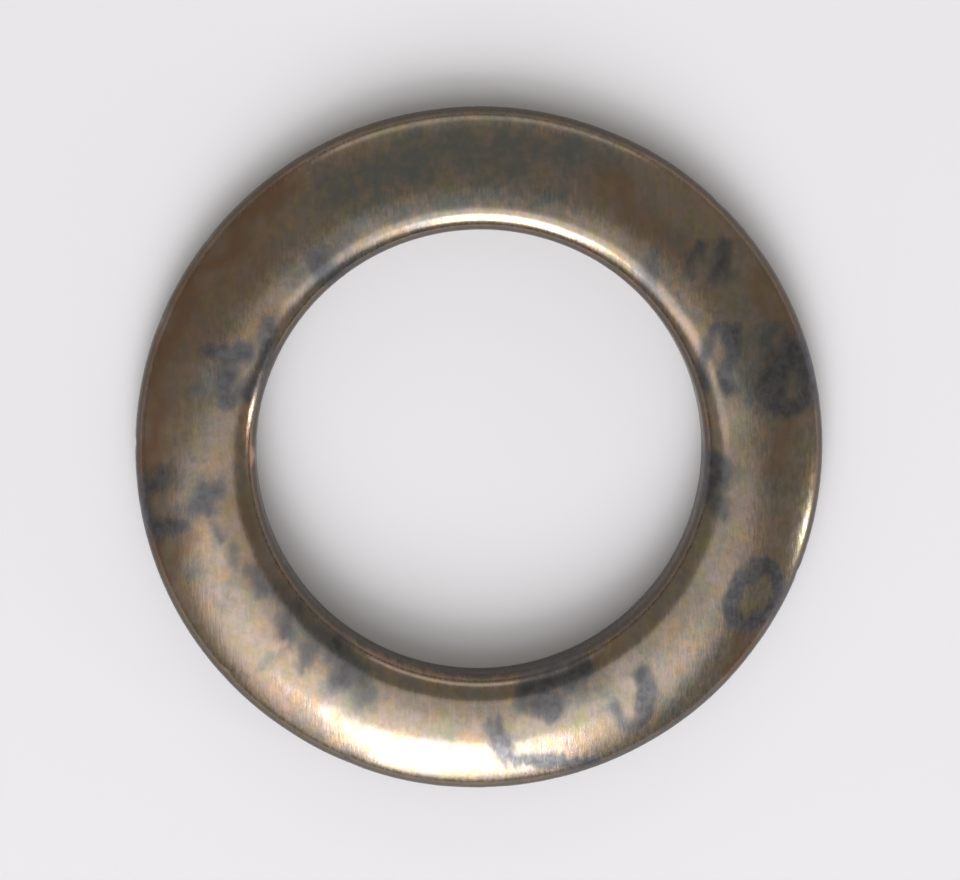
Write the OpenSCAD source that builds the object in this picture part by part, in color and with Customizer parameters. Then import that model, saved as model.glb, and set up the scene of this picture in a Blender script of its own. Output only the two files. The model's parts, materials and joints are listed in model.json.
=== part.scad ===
// Filled copper sealing ring for an M14 screw plug.
// A thin copper shell with a domed front face is rolled round a soft filler ring, and its
// two lips are crimped over a flat copper backing ring that closes the back.
// The origin is on the ring's axis in the plane of the back, and +Z points out of the front.

/* [Ring] */
// Outside diameter
outer_d = 21.6; // [21:0.1:24]
// Bore diameter, which clears an M14 thread
bore_d = 14.0; // [13.8:0.1:14.4]
// Thickness before the ring is crushed
thickness = 2.0; // [1.85:0.05:2.4]

/* [Shell] */
// Thickness of the copper sheet
sheet_t = 0.3; // [0.2:0.01:0.35]
// Outside radius where the front face turns down into the bore
shoulder_r = 0.75; // [0.6:0.05:0.9]
// Outside radius where the bore wall turns under the back
heel_r = 0.45; // [0.4:0.05:0.6]
// Outside radius of the rolled rim
rim_r = 0.75; // [0.6:0.05:0.85]
// Width of the flat land on the front face, between the two shoulders
land_w = 0.5; // [0.4:0.05:1.3]
// Reach of the lip rolled under the back at the bore
bore_lip_w = 1.35; // [0.9:0.05:1.5]
// Reach of the lip rolled under the back at the rim
rim_lip_w = 1.55; // [1.1:0.05:1.7]

/* [Backing ring] */
// Thickness of the copper backing ring
backing_t = 0.3; // [0.2:0.01:0.4]

/* [Resolution] */
// Facets round a circle in the preview
$fn = 144; // [72:24:360]

/* [Hidden] */
bore_r = bore_d / 2;
outer_r = outer_d / 2;
// Centres of the three small arcs of the cross-section, as [radius, height]
shoulder_c = [bore_r + shoulder_r, thickness - shoulder_r];
heel_c = [bore_r + heel_r, heel_r];
rim_c = [outer_r - rim_r, rim_r];
// The broad outer shoulder is one large arc, level where the land ends and tangent to the rim
land_end_r = shoulder_c[0] + land_w;
dome_run = rim_c[0] - land_end_r;
dome_drop = thickness - 2 * rim_r;
dome_r = rim_r + (dome_drop * dome_drop + dome_run * dome_run) / (2 * dome_drop);
dome_c = [land_end_r, thickness - dome_r];
dome_angle = asin(dome_run / (dome_r - rim_r));
// Length by which a cutting shape runs past the material that it cuts
past = 0.1;

// A point at a distance and an angle from a centre; the angle is measured from straight up
function polar(centre, distance, angle) = centre + distance * [sin(angle), cos(angle)];

// A disc of the cross-section plane
module disc(centre, radius) {
    translate(centre) circle(r = radius);
}

// The part of the dome's disc above the rim's centre, from straight up to the start of the rim
module dome_slice(radius) {
    reach = 2 * radius;
    intersection() {
        disc(dome_c, radius);
        polygon([
            rim_c,
            polar(dome_c, reach, dome_angle),
            polar(dome_c, reach, 0),
            [dome_c[0], rim_c[1]]
        ]);
    }
}

// Filled outline of the ring's cross-section, moved inwards by inset on every side
module outline(inset) {
    polygon([
        heel_c,
        [heel_c[0], inset],
        [rim_c[0], inset],
        rim_c,
        polar(dome_c, dome_r - inset, dome_angle),
        [land_end_r, thickness - inset],
        [shoulder_c[0], thickness - inset],
        shoulder_c,
        [bore_r + inset, shoulder_c[1]],
        [bore_r + inset, heel_c[1]]
    ]);
    disc(shoulder_c, shoulder_r - inset);
    disc(heel_c, heel_r - inset);
    disc(rim_c, rim_r - inset);
    dome_slice(dome_r - inset);
}

// Cross-section of the backing ring, which lies on the lips inside the shell
module backing_section() {
    translate([heel_c[0], sheet_t]) square([rim_c[0] - heel_c[0], backing_t]);
}

// Gap between the two lips, through which the back of the backing ring shows
module lip_gap() {
    gap_w = outer_r - rim_lip_w - bore_r - bore_lip_w;
    translate([bore_r + bore_lip_w, -past]) square([gap_w, sheet_t + 2 * past]);
}

// Domed copper shell with its bore wall, rim and two lips, formed from one sheet
module front_shell() {
    color([0.50, 0.40, 0.32])
    rotate_extrude() difference() {
        outline(0);
        outline(sheet_t);
        lip_gap();
    }
}

// Flat copper ring held under the lips
module backing_ring() {
    color([0.56, 0.41, 0.31])
    rotate_extrude() backing_section();
}

// Soft filler that takes up all the room inside the shell
module filler_ring() {
    color([0.47, 0.46, 0.43])
    rotate_extrude() difference() {
        outline(sheet_t);
        backing_section();
    }
}

front_shell();
backing_ring();
filler_ring();
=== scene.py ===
"""Looks for the filled copper sealing ring: a tarnished copper shell crimped over a backing ring,
with a pressed fibre filler sealed inside. Lengths in the modelling code are millimetres in the
row frame; meshes, lights and the camera are in metres."""
import json
import math

import bpy
import numpy as np
from mathutils import Matrix, Vector


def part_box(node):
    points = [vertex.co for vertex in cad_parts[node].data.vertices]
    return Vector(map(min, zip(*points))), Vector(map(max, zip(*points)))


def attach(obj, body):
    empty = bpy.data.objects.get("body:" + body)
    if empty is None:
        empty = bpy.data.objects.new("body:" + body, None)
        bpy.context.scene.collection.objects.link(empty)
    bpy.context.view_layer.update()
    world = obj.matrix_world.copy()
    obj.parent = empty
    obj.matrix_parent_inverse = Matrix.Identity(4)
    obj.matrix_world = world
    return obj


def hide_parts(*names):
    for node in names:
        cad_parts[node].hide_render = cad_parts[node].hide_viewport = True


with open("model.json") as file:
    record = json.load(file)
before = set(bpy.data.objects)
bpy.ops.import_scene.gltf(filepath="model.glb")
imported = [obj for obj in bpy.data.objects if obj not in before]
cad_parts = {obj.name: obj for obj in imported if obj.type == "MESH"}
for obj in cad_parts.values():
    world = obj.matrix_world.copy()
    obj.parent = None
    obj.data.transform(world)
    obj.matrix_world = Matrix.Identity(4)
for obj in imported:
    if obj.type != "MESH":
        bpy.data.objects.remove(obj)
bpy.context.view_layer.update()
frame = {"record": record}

MM = 0.001
TURN = 2 * math.pi
SEED = 14

# ---------------------------------------------------------------- sizes from the frame


def record_mount(name):
    """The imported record's mount of that name."""
    return next(m for m in frame["record"]["mounts"] if m["name"] == name)


def node_size(node):
    """Outer radius, lowest and highest point of a round CAD node, in mm."""
    low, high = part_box(node)
    return high[0] / MM, low[2] / MM, high[2] / MM


OUTER_R, BACK_Z, FRONT_Z = node_size("front_shell")
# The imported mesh's chords fall a hair short of the round rim
OUTER_R = round(OUTER_R, 2)
BACKING_R, BACKING_LOW, BACKING_HIGH = node_size("backing_ring")
BORE_R = record_mount("bore")["dims"]["r_mm"]
SHEET = BACKING_LOW - BACK_Z
RING_W = OUTER_R - BORE_R

# The small radii of the formed cross-section
SHOULDER_R = 0.75
HEEL_R = 0.45
RIM_R = OUTER_R - BACKING_R
LAND_W = 0.5
LAND_END = BORE_R + SHOULDER_R + LAND_W
BORE_LIP_W = 1.35
BORE_LIP_END = BORE_R + BORE_LIP_W
RIM_LIP_W = 1.55
RIM_LIP_END = OUTER_R - RIM_LIP_W
LIP_ROUND = 0.11
DOME_RUN = BACKING_R - LAND_END
DOME_DROP = FRONT_Z - 2 * RIM_R
DOME_R = RIM_R + (DOME_DROP**2 + DOME_RUN**2) / (2 * DOME_DROP)
DOME_SWEEP = math.degrees(math.asin(DOME_RUN / (DOME_R - RIM_R)))

# ---------------------------------------------------------------- cross-section and lathe


def arc(centre, radius, start, end, count):
    """Points on an arc of the cross-section; angles in degrees from +r towards +z."""
    angle = np.radians(np.linspace(start, end, count))
    return np.stack([centre[0] + radius * np.cos(angle), centre[1] + radius * np.sin(angle)], 1)


def line(start, end, count):
    """Evenly spaced points on a straight stretch, without its two ends."""
    return np.linspace(start, end, count + 2)[1:-1]


def skin_path(inset, fine):
    """One side of the copper sheet from the heel to the rim, moved in by inset. fine scales the number
    of points."""
    def n(count):
        return max(2, round(count * fine))

    heel = (BORE_R + HEEL_R, HEEL_R)
    shoulder = (BORE_R + SHOULDER_R, FRONT_Z - SHOULDER_R)
    dome = (LAND_END, FRONT_Z - DOME_R)
    rim = (OUTER_R - RIM_R, RIM_R)
    return np.concatenate([
        arc(heel, HEEL_R - inset, 270, 180, n(9)),
        line((BORE_R + inset, HEEL_R), (BORE_R + inset, shoulder[1]), n(6)),
        arc(shoulder, SHOULDER_R - inset, 180, 90, n(15)),
        line((shoulder[0], FRONT_Z - inset), (LAND_END, FRONT_Z - inset), n(4)),
        arc(dome, DOME_R - inset, 90, 90 - DOME_SWEEP, n(26)),
        arc(rim, RIM_R - inset, 90 - DOME_SWEEP, -90, n(22))[1:],
    ])


def shell_section():
    """Closed cross-section of the shell and, per point, how far it lies along each lip (0 to 1)."""
    outside = skin_path(0, 1)
    inside = skin_path(SHEET, 0.4)[::-1]
    rim_flat = line(outside[-1], (RIM_LIP_END + LIP_ROUND, 0), 8)
    bore_flat = line((BORE_LIP_END - LIP_ROUND, 0), outside[0], 8)
    rim_edge = np.concatenate([
        arc((RIM_LIP_END + LIP_ROUND, LIP_ROUND), LIP_ROUND, 270, 180, 5),
        arc((RIM_LIP_END + LIP_ROUND, SHEET - LIP_ROUND), LIP_ROUND, 180, 90, 5),
    ])
    bore_edge = np.concatenate([
        arc((BORE_LIP_END - LIP_ROUND, SHEET - LIP_ROUND), LIP_ROUND, 90, 0, 5),
        arc((BORE_LIP_END - LIP_ROUND, LIP_ROUND), LIP_ROUND, 0, -90, 5),
    ])
    rim_back = line(rim_edge[-1], inside[0], 3)
    bore_back = line(inside[-1], bore_edge[0], 3)
    return np.concatenate([outside, rim_flat, rim_edge, rim_back, inside, bore_back, bore_edge, bore_flat])


def outward_normals(section):
    """Unit normals of a closed cross-section, pointing out of the material."""
    along = np.roll(section, -1, 0) - np.roll(section, 1, 0)
    normal = np.stack([-along[:, 1], along[:, 0]], 1)
    return normal / np.linalg.norm(normal, axis=1, keepdims=True)


def lathe(name, section, turns, push):
    """A closed ring: the cross-section turned round +Z in that many steps. push(angle, section, normal)
    gives each point's move in (r, z) as an array of shape (turns, points, 2)."""
    angle = np.linspace(0, TURN, turns, endpoint=False)
    place = section + push(angle, section, outward_normals(section))
    r, z = place[..., 0], place[..., 1]
    points = np.stack([r * np.cos(angle)[:, None], r * np.sin(angle)[:, None], z], -1) * MM
    index = np.arange(turns * len(section)).reshape(turns, len(section))
    after = np.roll(index, -1, 0)
    quads = np.stack([index, np.roll(index, -1, 1), np.roll(after, -1, 1), after], -1).reshape(-1, 4)
    mesh = bpy.data.meshes.new(name)
    mesh.from_pydata(points.reshape(-1, 3), [], quads)
    mesh.validate()
    mesh.polygons.foreach_set("use_smooth", [True] * len(mesh.polygons))
    mesh.update()
    piece = bpy.data.objects.new(name, mesh)
    bpy.context.scene.collection.objects.link(piece)
    return piece


def smooth(value, low, high):
    """0 below low, 1 above high, smooth between; low may be the larger."""
    t = np.clip((value - low) / (high - low), 0, 1)
    return t * t * (3 - 2 * t)


def turn_from(angle, at):
    """The angle from one place round the ring to others, -pi to pi."""
    return (angle - at + math.pi) % TURN - math.pi


def waves(angle, rng, lowest, highest):
    """Random periodic waves round the ring, about -1 to 1, with whole numbers of waves per turn."""
    total = np.zeros_like(angle)
    for k in range(lowest, highest + 1):
        total += rng.normal() * np.cos(k * angle + rng.uniform(0, TURN))
    return total / (1.6 * math.sqrt(highest - lowest + 1))


def dents(angle, r, rng, count, radius, depth):
    """Sum of shallow round dents at random places on the ring, as a depth in mm."""
    total = np.zeros(r.shape)
    for _ in range(count):
        at_angle, at_r = rng.uniform(0, TURN), rng.uniform(BORE_R, OUTER_R)
        size, deep = rng.uniform(*radius), rng.uniform(*depth)
        distance = np.hypot(turn_from(angle[:, None], at_angle) * at_r, r - at_r)
        total += deep * np.exp(-((distance / size) ** 2))
    return total


# ---------------------------------------------------------------- the copper shell

SHELL_TURNS = 640
DENTS = 90
LIP_PLEATS = 84
LIP_SPLITS = 7
NICKS = 9
# A radius in the gap between the two lips
LIP_GAP_R = 8.8
# The face falls away very slightly towards the hole from here
CROWN_END = 8.15
CROWN_DROP = 0.014


def shell_push(angle, section, normal):
    """Handling dents, rim nicks, a slightly uneven dome and rim, and pleated, wavy lips. Nothing grows
    past the CAD."""
    rng = np.random.default_rng(SEED)
    r, z = section[:, 0], section[:, 1]
    outer_side = np.zeros(len(section))
    outer_side[: len(skin_path(0, 1))] = 1
    front = outer_side * smooth(z, 0.5, 1.0)
    every_r = np.broadcast_to(r, (len(angle), len(r)))
    deep = dents(angle, every_r, rng, DENTS, (0.25, 0.9), (0.002, 0.010))
    dome = smooth(r, BORE_R, BORE_R + 1) * (0.006 + 0.006 * waves(angle, rng, 2, 7)[:, None])
    rim = smooth(r, 9.4, 10.6) * (0.012 + 0.012 * waves(angle, rng, 3, 14)[:, None])
    inward = front * (deep + np.clip(dome, 0, 1)) + outer_side * np.clip(rim, 0, 1)
    settle = CROWN_DROP * front * smooth(r, CROWN_END, BORE_R + 0.35)
    for _ in range(NICKS):
        at, wide, bite = rng.uniform(0, TURN), rng.uniform(0.10, 0.22), rng.uniform(0.02, 0.05)
        across = turn_from(angle, at) * OUTER_R
        height = rng.uniform(0.4, 1.4)
        notch = np.exp(-((across / wide) ** 2))[:, None] * np.exp(-(((z - height) / 0.22) ** 2))
        inward = inward + outer_side * smooth(r, 10.2, 10.6) * notch * bite
    move = -inward[..., None] * normal
    move[..., 1] -= settle
    under = 1 - smooth(z, SHEET * 0.4, SHEET)
    on_rim_lip = smooth(r, 10.2, 9.6) * (r > LIP_GAP_R) * (z < SHEET + 0.01)
    on_bore_lip = smooth(r, 7.5, 8.0) * (r < LIP_GAP_R) * (z < SHEET + 0.01)
    pleat = 0.5 + 0.5 * np.cos(LIP_PLEATS * angle + 2.5 * waves(angle, rng, 3, 12))
    pleat = pleat**3 * (0.5 + 0.5 * smooth(waves(angle, rng, 4, 20), -0.8, 0.8))
    lip_end = smooth(r, 10.0, RIM_LIP_END)
    move[..., 1] += 0.05 * pleat[:, None] * (on_rim_lip * under * lip_end)
    move[..., 1] += 0.012 * (1 + waves(angle, rng, 3, 16)[:, None]) * on_bore_lip * under
    edge = smooth(r, 9.9, 9.3) * on_rim_lip
    move[..., 0] += 0.045 * (waves(angle, rng, 5, 40) + 0.4 * pleat)[:, None] * edge
    edge = smooth(r, 7.8, 8.3) * on_bore_lip
    split = np.zeros_like(angle)
    for _ in range(LIP_SPLITS):
        at, wide = rng.uniform(0, TURN), rng.uniform(0.06, 0.12)
        across = turn_from(angle, at) * BORE_LIP_END
        split = np.maximum(split, rng.uniform(0.1, 0.32) * smooth(np.abs(across), wide, 0))
    move[..., 0] += (0.03 * waves(angle, rng, 4, 30) - split)[:, None] * edge
    return move


# Tarnish on the front: (path of (degrees from +X, share of the ring's width from the bore),
# half-width in mm, strength). Each path is one soft stroke. Stains are dark and blue-grey.
STAINS = [
    ([(11, 0.56), (9.2, 0.72), (9.8, 0.90), (13, 0.97)], 0.40, 0.9),
    ([(13, 0.97), (17, 0.96), (18, 0.86), (17, 0.74), (14, 0.62)], 0.58, 1.0),
    ([(22, 0.66), (23, 0.74)], 0.38, 0.5),
    ([(15.5, 0.26), (19, 0.25), (22, 0.34), (26.5, 0.42)], 0.25, 0.9),
    ([(17, 0.08), (22, 0.09), (25, 0.18), (28, 0.34)], 0.22, 0.75),
    ([(37, 0.55), (39, 0.68), (41, 0.80)], 0.26, 0.65),
    ([(43.5, 0.63), (43.5, 0.50), (42.5, 0.42)], 0.24, 0.65),
    ([(45, 0.10), (48.5, 0.28)], 0.28, 0.55),
    ([(128.5, 0.06), (130.5, 0.17), (129, 0.28)], 0.35, 0.75),
    ([(116, 0.10), (127, 0.13)], 0.30, 0.35),
    ([(147, 0.21), (151, 0.15), (155, 0.08), (158.5, 0.05)], 0.33, 0.75),
    ([(156.5, 0.28), (157.5, 0.38), (158, 0.49)], 0.43, 0.95),
    ([(160.5, 0.36), (165.5, 0.33), (167, 0.24), (165.5, 0.14), (162.5, 0.10)], 0.38, 0.8),
    ([(183.5, 0.74), (184.5, 0.88), (188, 0.97), (192, 0.96), (193.5, 0.84), (193, 0.70)], 0.41, 0.8),
    ([(186.5, 0.36), (187.5, 0.44), (190, 0.44)], 0.45, 0.75),
    ([(194, 0.41), (197, 0.37)], 0.25, 0.55),
    ([(200, 0.31), (202, 0.36)], 0.25, 0.6),
    ([(207.5, 0.22), (210.5, 0.25), (212, 0.17)], 0.38, 0.75),
    ([(213, 0.15), (225, 0.16), (238, 0.16)], 0.33, 0.6),
    ([(218.5, 0.20), (221.5, 0.33)], 0.33, 0.7),
    ([(228, 0.22), (229.5, 0.45)], 0.30, 0.6),
    ([(233, 0.13), (237, 0.20), (238, 0.32)], 0.43, 0.8),
    ([(240, 0.20), (244, 0.40)], 0.40, 0.6),
    ([(225, 0.42), (224.5, 0.60), (223, 0.85)], 0.22, 0.4),
    ([(245.5, 0.84), (246.5, 0.97)], 0.18, 0.6),
    ([(201, 0.60), (202.5, 0.69)], 0.33, 0.35),
    ([(209.5, 0.57), (209.5, 0.64)], 0.30, 0.35),
    ([(273.6, 0.44), (273.8, 0.56), (275, 0.68)], 0.34, 1.0),
    ([(276, 0.72), (280, 0.79), (284, 0.81), (287, 0.88), (291, 0.95)], 0.19, 0.95),
    ([(282, 0.14), (288, 0.15), (294, 0.15)], 0.43, 1.0),
    ([(281, 0.22), (283, 0.30)], 0.35, 0.8),
    ([(285.5, 0.22), (285, 0.37)], 0.33, 0.9),
    ([(296, 0.25), (300, 0.14)], 0.38, 0.45),
    ([(298, 0.56), (298.2, 0.68), (300, 0.75)], 0.30, 0.65),
    ([(301.5, 0.76), (303.5, 0.65), (305.5, 0.53), (306.3, 0.40)], 0.26, 1.0),
    ([(286, 0.97), (300, 0.98), (314, 0.98)], 0.33, 0.5),
    ([(347.5, 0.19), (349, 0.16)], 0.33, 0.9),
    ([(352, 0.09), (355, 0.14), (358, 0.09)], 0.38, 0.95),
    ([(353, 0.55), (353.5, 0.66)], 0.30, 0.35),
]
RING_STAIN = {"at": (332.7, 0.72), "along": 0.98, "across": 0.64, "width": 0.29, "strength": 1.0}
# A thin greyish film
GREY_FILM = [
    ([(68, 0.74), (80, 0.66), (100, 0.66), (118, 0.64)], 0.80, 1.0),
    ([(72, 0.36), (90, 0.32), (112, 0.30), (135, 0.22)], 0.55, 0.9),
    ([(12, 0.40), (20, 0.50), (23, 0.62)], 0.80, 0.9),
    ([(34, 0.30), (48, 0.22)], 0.45, 0.8),
    ([(40, 0.70), (46, 0.55)], 0.50, 0.7),
    ([(158, 0.30), (166, 0.50)], 0.55, 0.8),
    ([(183, 0.62), (191, 0.55)], 0.55, 0.7),
    ([(226, 0.30), (244, 0.30)], 0.50, 0.7),
    ([(282, 0.32), (300, 0.50)], 0.50, 0.5),
    ([(303, 0.88), (316, 0.76), (326, 0.58)], 0.50, 0.6),
    ([(300, 0.20), (308, 0.30)], 0.40, 0.5),
]
# Redder, darker copper
WARM_BROWN = [
    ([(125, 0.90), (150, 0.92), (180, 0.93), (198, 0.96)], 0.42, 1.0),
    ([(138, 0.62), (152, 0.70), (170, 0.72)], 0.50, 0.45),
    ([(48, 0.45), (58, 0.50), (64, 0.62)], 0.55, 0.6),
    ([(20, 0.90), (34, 0.84)], 0.40, 0.6),
    ([(357, 0.60), (5, 0.68)], 0.35, 0.6),
    ([(318, 0.92), (325, 0.92)], 0.28, 0.9),
    ([(197, 0.60), (199, 0.76)], 0.24, 0.7),
    ([(191, 0.20), (204, 0.20)], 0.28, 0.7),
]
# Bright copper on the crown of the rim and both edges of the hole: partly wear where handling rubs it,
# partly painted highlight where these edges catch the light
WEAR_AND_SHEEN = [
    ([(165, 0.07), (172, 0.065), (182, 0.065)], 0.12, 1.0),
    ([(42, 0.92), (50, 0.91), (58, 0.92)], 0.50, 0.45),
    ([(116, 0.92), (124, 0.92)], 0.50, 0.45),
    ([(234, 0.06), (246, 0.06), (258, 0.06), (270, 0.06), (280, 0.06)], 0.20, 0.4),
    ([(28, 0.14), (40, 0.14)], 0.20, 0.4),
    ([(3, 0.17), (9, 0.20)], 0.25, 0.4),
    ([(205, 0.84), (218, 0.72), (230, 0.80)], 0.50, 0.4),
]


def on_plane(degrees, share):
    """A place on the ring, given by angle and share of its width, as (x, y) in mm."""
    r = BORE_R + share * RING_W
    return r * math.cos(math.radians(degrees)), r * math.sin(math.radians(degrees))


def stroke(x, y, path, half_width):
    """1 on the path's line, falling evenly to 0.5 at half_width and to 0 at twice that."""
    nearest = np.full(x.shape, 1e9)
    for (ax, ay), (bx, by) in zip(path, path[1:]):
        dx, dy = bx - ax, by - ay
        t = np.clip(((x - ax) * dx + (y - ay) * dy) / (dx * dx + dy * dy), 0, 1)
        nearest = np.minimum(nearest, np.hypot(x - ax - t * dx, y - ay - t * dy))
    return 1 - nearest / (2 * half_width)


def painted(x, y, strokes):
    """The strongest of the strokes at each point, 0 to 1."""
    best = np.zeros(x.shape)
    for path, half_width, strength in strokes:
        field = stroke(x, y, [on_plane(*p) for p in path], half_width)
        best = np.maximum(best, strength * smooth(field, 0, 1))
    return best


def clouds(x, y, rng, cell, octaves=3):
    """Smooth random patches over the plane, about -1 to 1, with features of about one cell in mm."""
    total, weight = np.zeros(x.shape), 1.0
    for _ in range(octaves):
        side = int(4 * OUTER_R / cell) + 3
        grid = rng.uniform(-1, 1, (side, side))
        u, v = (x + 2 * OUTER_R) / cell, (y + 2 * OUTER_R) / cell
        i, j = np.floor(u).astype(int), np.floor(v).astype(int)
        fu, fv = smooth(u - i, 0, 1), smooth(v - j, 0, 1)
        near = grid[i, j] * (1 - fu) + grid[i + 1, j] * fu
        far = grid[i, j + 1] * (1 - fu) + grid[i + 1, j + 1] * fu
        total += weight * (near * (1 - fv) + far * fv)
        weight, cell = weight / 2, cell / 2
    return total


def ring_stain(x, y, at, along, across, width, strength):
    """A ring-shaped stain left by a drop, as a stroke along an ellipse."""
    cx, cy = on_plane(*at)
    turn = math.radians(at[0])
    out, side = (math.cos(turn), math.sin(turn)), (-math.sin(turn), math.cos(turn))
    loop = []
    for t in np.linspace(0, TURN, 25):
        a, b = across * math.cos(t), along * math.sin(t)
        loop.append((cx + a * out[0] + b * side[0], cy + a * out[1] + b * side[1]))
    return strength * smooth(stroke(x, y, loop, width), 0, 1)


def paint(piece, name, values):
    """Stores one value per vertex for the piece's material."""
    layer = piece.data.attributes.new(name, "FLOAT", "POINT")
    layer.data.foreach_set("value", np.asarray(values, np.float32))


def paint_shell(piece):
    """Stores the tarnish, painted shade and painted highlight on the shell: near strokes keep their
    outlines, far ones are blown about more.
    """
    co = np.empty(len(piece.data.vertices) * 3)
    piece.data.vertices.foreach_get("co", co)
    x, y, z = co.reshape(-1, 3).T / MM
    rng = np.random.default_rng(SEED + 3)
    front = smooth(z, 0.35, 0.9)
    shift_x, shift_y = clouds(x, y, rng, 0.8), clouds(x, y, rng, 0.8)
    feather = clouds(1.9 * x, 0.4 * y, rng, 0.35, 2)
    near_x, near_y = x + 0.12 * shift_x, y + 0.12 * shift_y + 0.14 * feather
    far_x, far_y = x + 0.35 * shift_x, y + 0.35 * shift_y
    stain = np.maximum(painted(near_x, near_y, STAINS), ring_stain(near_x, near_y, **RING_STAIN))
    stain = stain * (1 + 0.18 * clouds(x, y, rng, 0.5))
    paint(piece, "stain", stain * front)
    paint(piece, "film", painted(far_x, far_y, GREY_FILM) * front)
    r = np.hypot(x, y)
    # Painted shade: darker on the bore wall and on everything below the crown of the rim, weaker on the
    # underside.
    wall_shade = np.maximum(smooth(r, BORE_R + 0.24, BORE_R + 0.05), smooth(z, 1.42, 1.10))
    paint(piece, "wall_shade", wall_shade * (0.35 + 0.65 * smooth(z, 0.1, 0.6)))
    paint(piece, "warm", painted(far_x, far_y, WARM_BROWN) * front)
    # Brighter copper: partly wear, partly painted highlight on the rim and the hole's edges.
    paint(piece, "wear_and_sheen", painted(near_x, near_y, WEAR_AND_SHEEN) * smooth(z, 1.05, 1.4))


def make_shell():
    piece = lathe("copper_shell", shell_section(), SHELL_TURNS, shell_push)
    paint_shell(piece)
    piece.data.materials.append(copper("shell_copper"))
    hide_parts("front_shell")
    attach(piece, "root")


# ---------------------------------------------------------------- backing ring and filler

BACKING_TURNS = 600
BACKING_CORNER = 0.05
FILLER_TURNS = 480

def rounded_bar(r_in, r_out, z_low, z_high, corner, along):
    """Rectangular cross-section with small round corners."""
    return np.concatenate([
        arc((r_in + corner, z_low + corner), corner, 270, 180, 4),
        arc((r_in + corner, z_high - corner), corner, 180, 90, 4),
        line((r_in + corner, z_high), (r_out - corner, z_high), along),
        arc((r_out - corner, z_high - corner), corner, 90, 0, 4),
        arc((r_out - corner, z_low + corner), corner, 0, -90, 4),
        line((r_out - corner, z_low), (r_in + corner, z_low), along),
    ])


def backing_push(angle, section, normal):
    """Faint ripples left by the blanking and crimping tools; the ring only gets thinner."""
    rng = np.random.default_rng(SEED + 1)
    r = section[:, 0]
    ripple = 0.006 * (1 + np.sin(r * 21.0)) + 0.010 * (1 + waves(angle, rng, 3, 24)[:, None])
    every_r = np.broadcast_to(r, (len(angle), len(r)))
    sunk = dents(angle, every_r, rng, 60, (0.12, 0.4), (0.004, 0.016))
    return -np.clip(ripple + sunk, 0, 0.06)[..., None] * normal


def make_backing():
    inner = BORE_R + HEEL_R
    section = rounded_bar(inner, BACKING_R, BACKING_LOW, BACKING_HIGH, BACKING_CORNER, 34)
    piece = lathe("backing_ring_copper", section, BACKING_TURNS, backing_push)
    piece.data.materials.append(copper("backing_copper"))
    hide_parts("backing_ring")
    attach(piece, "root")


def filler_section():
    """The room inside the shell above the backing ring, a touch smaller all round."""
    gap = 0.01
    walls = skin_path(SHEET + gap, 0.8)
    low = BACKING_HIGH + gap
    above = walls[walls[:, 1] > low + 0.02]
    right = above[-1]
    left = above[0]
    base = line((right[0], low), (left[0], low), 40)
    return np.concatenate([above, [[right[0], low]], base, [[left[0], low]]])


def filler_push(angle, section, normal):
    """Pressed fibre: a grainy, slightly crumbled surface."""
    rng = np.random.default_rng(SEED + 2)
    r = section[:, 0]
    grain = np.abs(rng.normal(size=(len(angle), len(r))))
    grain = (grain + np.roll(grain, 1, 0) + np.roll(grain, 1, 1)) / 3
    every_r = np.broadcast_to(r, (len(angle), len(r)))
    crumbs = dents(angle, every_r, rng, 160, (0.08, 0.25), (0.01, 0.05))
    return -np.clip(0.012 * grain + crumbs, 0, 0.1)[..., None] * normal


def make_filler():
    piece = lathe("filler_packing", filler_section(), FILLER_TURNS, filler_push)
    piece.data.materials.append(packing())
    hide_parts("filler_ring")
    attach(piece, "root")


# ---------------------------------------------------------------- materials


def rgb(red, green, blue):
    """A display colour, 0 to 255 each, as the linear colour that the shader takes."""
    def linear(value):
        value /= 255
        return value / 12.92 if value <= 0.04045 else ((value + 0.055) / 1.055) ** 2.4

    return (linear(red), linear(green), linear(blue), 1.0)


class Nodes:
    """A short way to write a material's node tree."""

    def __init__(self, name):
        self.material = bpy.data.materials.new(name)
        self.material.use_nodes = True
        self.tree = self.material.node_tree
        self.tree.nodes.clear()

    def add(self, kind, inputs=None, **settings):
        node = self.tree.nodes.new("ShaderNode" + kind)
        for key, value in settings.items():
            setattr(node, key, value)
        for key, value in (inputs or {}).items():
            if isinstance(value, bpy.types.NodeSocket):
                self.tree.links.new(value, node.inputs[key])
            else:
                node.inputs[key].default_value = value
        return node

    def math(self, operation, a, b):
        return self.add("Math", {0: a, 1: b}, operation=operation).outputs[0]

    def step(self, value, low, high, to_low=0.0, to_high=1.0):
        """value from low to high, smoothly mapped to to_low to to_high."""
        keys = {"Value": value, "From Min": low, "From Max": high, "To Min": to_low, "To Max": to_high}
        return self.add("MapRange", keys, interpolation_type="SMOOTHSTEP").outputs[0]

    def mix(self, factor, a, b):
        return self.add("Mix", {0: factor, 6: a, 7: b}, data_type="RGBA").outputs[2]

    def noise(self, vector, scale, detail=3.0, roughness=0.55):
        keys = {"Vector": vector, "Scale": scale, "Detail": detail, "Roughness": roughness}
        return self.add("TexNoise", keys).outputs[0]

    def stretched(self, vector, scale):
        keys = {0: vector, 1: scale}
        return self.add("VectorMath", keys, operation="MULTIPLY").outputs[0]

    def attribute(self, name):
        return self.add("Attribute", attribute_name=name).outputs["Fac"]

    def millimetres(self):
        place = self.add("TexCoord").outputs["Object"]
        return self.stretched(place, (1 / MM, 1 / MM, 1 / MM))

    def finish(self, shader):
        self.add("OutputMaterial", {"Surface": shader.outputs[0]})
        return self.material


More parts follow.
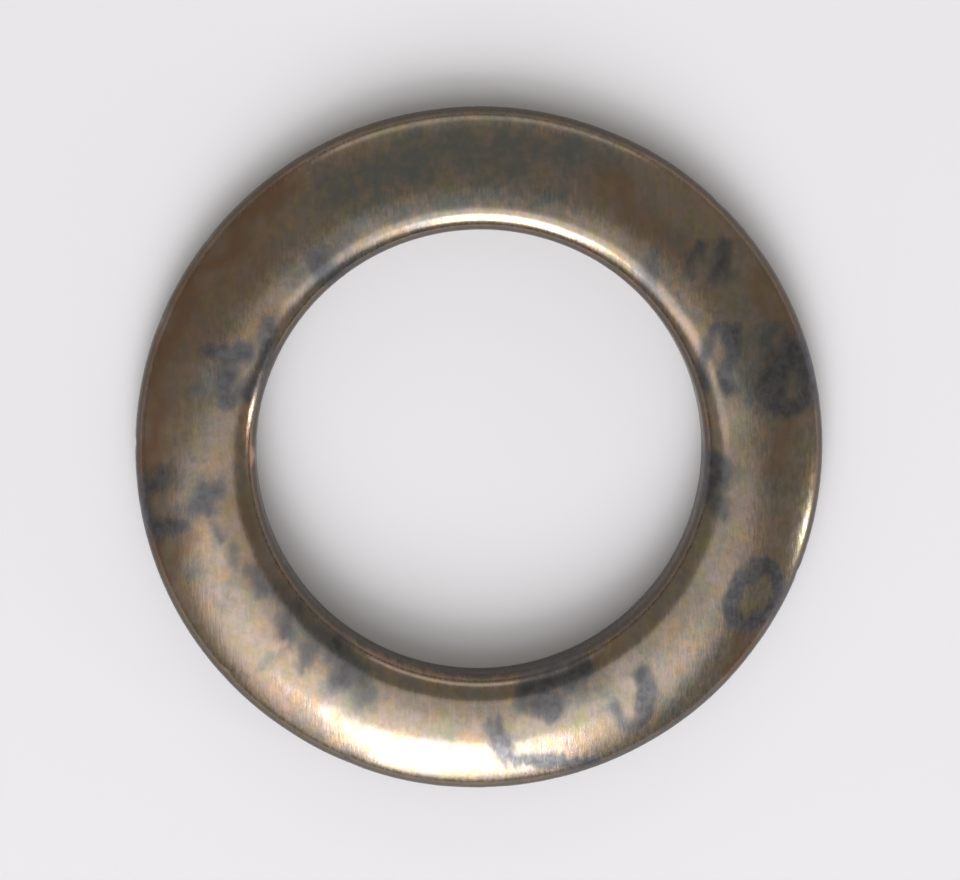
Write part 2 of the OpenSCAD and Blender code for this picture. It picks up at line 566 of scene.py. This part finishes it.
def copper(name):
    """Tarnished rolled copper: pinkish brown with olive and grey mottling, a lengthwise rolling grain, soft
    blue-grey stains, a thin grey film, painted shade on the bore wall and the lower rim, and brighter copper
    that is partly wear and partly painted highlight."""
    n = Nodes(name)
    mm = n.millimetres()
    grain = n.noise(n.stretched(mm, (4.6, 0.8, 1.5)), 1.0, 4.0, 0.6)
    fine = n.noise(n.stretched(mm, (14.0, 3.2, 5.0)), 1.0, 3.0, 0.6)
    patches = n.noise(mm, 0.75, 4.0, 0.55)
    tints = n.noise(n.stretched(mm, (1.7, 1.2, 1.7)), 1.0, 4.0, 0.6)
    speckle = n.noise(mm, 3.4, 4.0, 0.65)
    hue = n.noise(n.stretched(mm, (1.9, 1.6, 1.9)), 1.0, 5.0, 0.7)
    ragged = n.math("ADD", n.math("MULTIPLY", tints, 0.5), n.math("MULTIPLY", speckle, 0.5))
    ragged = n.math("SUBTRACT", ragged, 0.5)

    metal = n.mix(n.step(patches, 0.36, 0.64), rgb(149, 142, 113), rgb(169, 141, 115))
    metal = n.mix(n.step(hue, 0.36, 0.64, 0.0, 0.85), metal, rgb(156, 140, 138))
    metal = n.mix(n.step(tints, 0.46, 0.68, 0.0, 0.6), metal, rgb(136, 134, 126))
    metal = n.mix(n.step(speckle, 0.40, 0.66, 0.0, 0.45), metal, rgb(136, 122, 100))
    metal = n.mix(n.step(grain, 0.50, 0.72, 0.0, 0.22), metal, rgb(190, 164, 144))
    metal = n.mix(n.math("MULTIPLY", n.attribute("warm"), 0.75), metal, rgb(140, 106, 84))
    film = n.math("ADD", n.attribute("film"), n.math("MULTIPLY", ragged, 3.2))
    metal = n.mix(n.step(film, 0.10, 1.4, 0.0, 0.85), metal, rgb(120, 123, 124))

    # Painted shade: the bore wall and the lower rim darkened towards dark brown and made a little rougher.
    wall_shade = n.math("MULTIPLY", n.attribute("wall_shade"), 0.85)
    metal = n.mix(wall_shade, metal, rgb(66, 56, 46))

    # Brighter copper, partly wear and partly painted highlight, with slightly less roughness.
    wear_and_sheen = n.math("ADD", n.attribute("wear_and_sheen"), n.math("MULTIPLY", n.math("SUBTRACT", fine, 0.5), 0.6))
    wear_and_sheen = n.step(wear_and_sheen, 0.05, 1.25)
    metal = n.mix(wear_and_sheen, metal, rgb(190, 152, 130))
    stain = n.math("ADD", n.attribute("stain"), n.math("MULTIPLY", ragged, 0.8))
    stain = n.step(stain, 0.04, 0.86)
    tone = n.mix(n.step(speckle, 0.38, 0.62), rgb(82, 81, 87), rgb(102, 102, 105))
    colour = n.mix(n.math("MULTIPLY", stain, 0.92), metal, tone)

    dull = n.step(fine, 0.3, 0.7, 0.15, 0.26)
    dull = n.math("ADD", dull, n.math("MULTIPLY", wall_shade, 0.12))
    dull = n.math("ADD", dull, n.math("MULTIPLY", stain, 0.12))
    dull = n.math("SUBTRACT", dull, n.math("MULTIPLY", wear_and_sheen, 0.04))
    height = n.math("ADD", n.math("MULTIPLY", grain, 0.6), n.math("MULTIPLY", fine, 0.4))
    bump = n.add("Bump", {"Height": height, "Strength": 1.0, "Distance": 0.0000065})
    shader = n.add("BsdfPrincipled", {
        "Base Color": colour,
        "Metallic": 1.0,
        "Roughness": dull,
        "Normal": bump.outputs[0],
    })
    return n.finish(shader)


def packing():
    """Grey pressed mineral fibre: matted short fibres with darker binder."""
    n = Nodes("filler")
    mm = n.millimetres()
    fibre = n.noise(n.stretched(mm, (9.0, 2.5, 6.0)), 1.0, 5.0, 0.7)
    cross = n.noise(n.stretched(mm, (2.5, 9.0, 6.0)), 1.0, 5.0, 0.7)
    matted = n.math("MAXIMUM", fibre, cross)
    blotch = n.noise(mm, 1.3, 3.0)
    base = n.mix(n.step(matted, 0.45, 0.7), rgb(92, 90, 84), rgb(168, 165, 154))
    base = n.mix(n.step(blotch, 0.4, 0.7, 0.0, 0.5), base, rgb(122, 116, 104))
    bump = n.add("Bump", {"Height": matted, "Strength": 1.0, "Distance": 0.00004})
    rough = n.step(matted, 0.3, 0.8, 0.98, 0.85)
    shader = n.add("BsdfPrincipled", {"Base Color": base, "Roughness": rough, "Normal": bump.outputs[0]})
    return n.finish(shader)


def floor_finish():
    """Pale matt studio surface."""
    n = Nodes("studio_floor")
    keys = {"Base Color": rgb(249, 247, 252), "Roughness": 0.9}
    return n.finish(n.add("BsdfPrincipled", keys))


# ---------------------------------------------------------------- the set

FLOOR_HALF = 1.5
CAMERA_DISTANCE = 108.0
CAMERA_TILT = 8.0
CAMERA_LEFT = 2.0
# The ring's width as a share of the picture's width
RING_SHARE = 0.71927
AIM_ABOVE_CENTRE = 0.39
SENSOR = 36.0
# Azimuth and elevation of the brightest part of the room, and the cosines between which it fades in
BRIGHT_SIDE = (262, 48)
FADE_FROM, FADE_TO = 0.76, 0.94
DIM_ROOM = (0.305, 0.300, 0.272, 1)
BRIGHT_ROOM = (1.75, 1.77, 1.77, 1)
LAMP_DISTANCE = 0.40


def make_floor():
    mesh = bpy.data.meshes.new("floor")
    corners = [(-1, -1), (1, -1), (1, 1), (-1, 1)]
    mesh.from_pydata([(x * FLOOR_HALF, y * FLOOR_HALF, 0) for x, y in corners], [], [(0, 1, 2, 3)])
    floor = bpy.data.objects.new("floor", mesh)
    bpy.context.scene.collection.objects.link(floor)
    mesh.materials.append(floor_finish())


def aim(obj, target, up=(0, 1, 0)):
    """Points a camera or lamp at a place, with the row's +Y up in the picture."""
    back = (obj.location - target).normalized()
    right = Vector(up).cross(back).normalized()
    turn = Matrix((right, back.cross(right), back)).transposed()
    obj.rotation_mode = "QUATERNION"
    obj.rotation_quaternion = turn.to_quaternion()


def heading(azimuth, elevation):
    """Unit vector towards an azimuth (from +X) and an elevation above the floor, in degrees."""
    a, e = math.radians(azimuth), math.radians(elevation)
    return Vector((math.cos(a) * math.cos(e), math.sin(a) * math.cos(e), math.sin(e)))


def make_camera():
    """Nearly square on to the front, from a little above and to the left."""
    data = bpy.data.cameras.new("camera")
    camera = bpy.data.objects.new("camera", data)
    bpy.context.scene.collection.objects.link(camera)
    tilt, left = math.radians(CAMERA_TILT), math.radians(CAMERA_LEFT)
    away = Vector((-math.sin(left), math.sin(tilt) * math.cos(left), math.cos(tilt) * math.cos(left)))
    target = Vector((0, AIM_ABOVE_CENTRE, FRONT_Z / 2)) * MM
    camera.location = target + away * CAMERA_DISTANCE * MM
    aim(camera, target)
    data.sensor_width = SENSOR
    data.lens = RING_SHARE * SENSOR * CAMERA_DISTANCE / (2 * OUTER_R)
    data.clip_start, data.clip_end = 0.005, 10.0
    bpy.context.scene.camera = camera


def lamp(name, azimuth, elevation, size, power):
    """A soft box aimed at the ring; azimuth in degrees from +X, elevation above the floor."""
    data = bpy.data.lights.new(name, "AREA")
    data.shape, data.size, data.size_y = "RECTANGLE", size[0], size[1]
    data.energy = power
    light = bpy.data.objects.new(name, data)
    bpy.context.scene.collection.objects.link(light)
    light.location = heading(azimuth, elevation) * LAMP_DISTANCE
    aim(light, Vector((0, 0, 0)))


def make_world():
    """A dim, slightly warm room that gets steadily brighter towards one side, as near a window."""
    world = bpy.data.worlds.new("world")
    world.use_nodes = True
    tree = world.node_tree
    shade = tree.nodes["Background"]
    place = tree.nodes.new("ShaderNodeTexCoord")
    facing = tree.nodes.new("ShaderNodeVectorMath")
    facing.operation = "DOT_PRODUCT"
    facing.inputs[1].default_value = heading(*BRIGHT_SIDE)
    tree.links.new(place.outputs["Generated"], facing.inputs[0])
    level = tree.nodes.new("ShaderNodeMapRange")
    level.interpolation_type = "SMOOTHSTEP"
    level.inputs["From Min"].default_value = FADE_FROM
    level.inputs["From Max"].default_value = FADE_TO
    tree.links.new(facing.outputs["Value"], level.inputs["Value"])
    blend = tree.nodes.new("ShaderNodeMix")
    blend.data_type = "RGBA"
    blend.inputs[6].default_value = DIM_ROOM
    blend.inputs[7].default_value = BRIGHT_ROOM
    tree.links.new(level.outputs[0], blend.inputs[0])
    tree.links.new(blend.outputs[2], shade.inputs["Color"])
    bpy.context.scene.world = world


def make_lights():
    """A soft box on the bright side, faint ones on the left and behind, and a small low one on the right."""
    make_world()
    lamp("key", 266, 35, (0.20, 0.24), 0.70)
    lamp("left", 205, 42, (0.40, 0.30), 0.03)
    lamp("back", 88, 20, (0.45, 0.12), 0.12)
    lamp("glint", 340, 5, (0.16, 0.02), 0.22)
    bpy.context.scene.view_settings.view_transform = "Standard"


make_camera()
make_shell()
make_backing()
make_filler()
make_floor()
make_lights()
